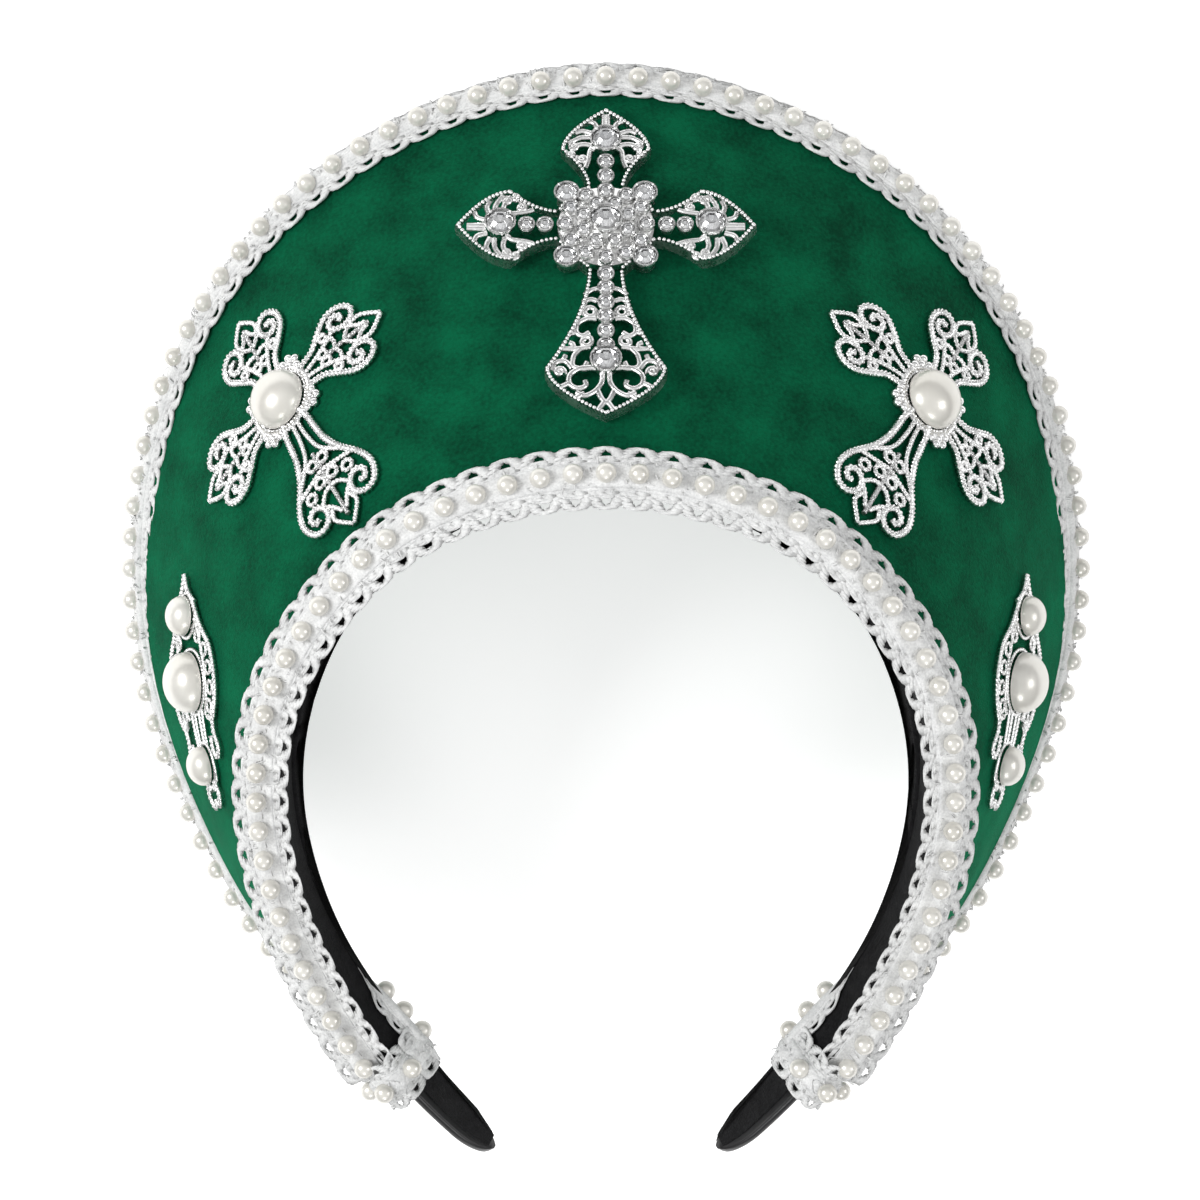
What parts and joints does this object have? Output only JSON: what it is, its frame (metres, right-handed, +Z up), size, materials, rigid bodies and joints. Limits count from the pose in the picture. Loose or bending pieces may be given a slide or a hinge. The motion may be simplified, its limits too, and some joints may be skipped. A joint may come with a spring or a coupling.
{
  "type": "french hood",
  "caption": "Crescent-shaped velvet hood on a headband, with pearl-studded braid along both edges and applied metal crosses and pearl brooches.",
  "frame": {"origin": "centre of the bounding box at table level, with the hood lying on its back", "axes": "+X to the right of the hood as seen from its front, +Y from the band ends to the crown of the crescent, +Z up, out of the velvet face"},
  "size_m": [0.2056, 0.2234, 0.0818],
  "materials": {
    "velvet": "matt green velvet",
    "braid": "white looped cord braid",
    "pearl": "pearl lustre",
    "silver": "bright silver plate",
    "rhinestone": "cut and foiled",
    "band_cloth": "black woven covering"
  },
  "bodies": {
    "root": {"crescent": "velvet", "headband": "band_cloth", "outer_trim": "braid", "inner_trim": "braid", "braid_wrap_left": "braid", "braid_wrap_right": "braid", "centre_cross": "silver", "filigree_cross_left": "silver", "filigree_cross_right": "silver", "side_brooch_left": "silver", "side_brooch_right": "silver", "cross_pearl_left": "pearl", "cross_pearl_right": "pearl", "upper_pearl_left": "pearl", "middle_pearl_left": "pearl", "lower_pearl_left": "pearl", "upper_pearl_right": "pearl", "middle_pearl_right": "pearl", "lower_pearl_right": "pearl", "centre_stone": "rhinestone", "top_stone": "rhinestone", "left_stone": "rhinestone", "right_stone": "rhinestone", "bottom_stone": "rhinestone", "upper_left_stone": "rhinestone", "upper_right_stone": "rhinestone", "lower_left_stone": "rhinestone", "lower_right_stone": "rhinestone"}
  },
  "joints": []
}
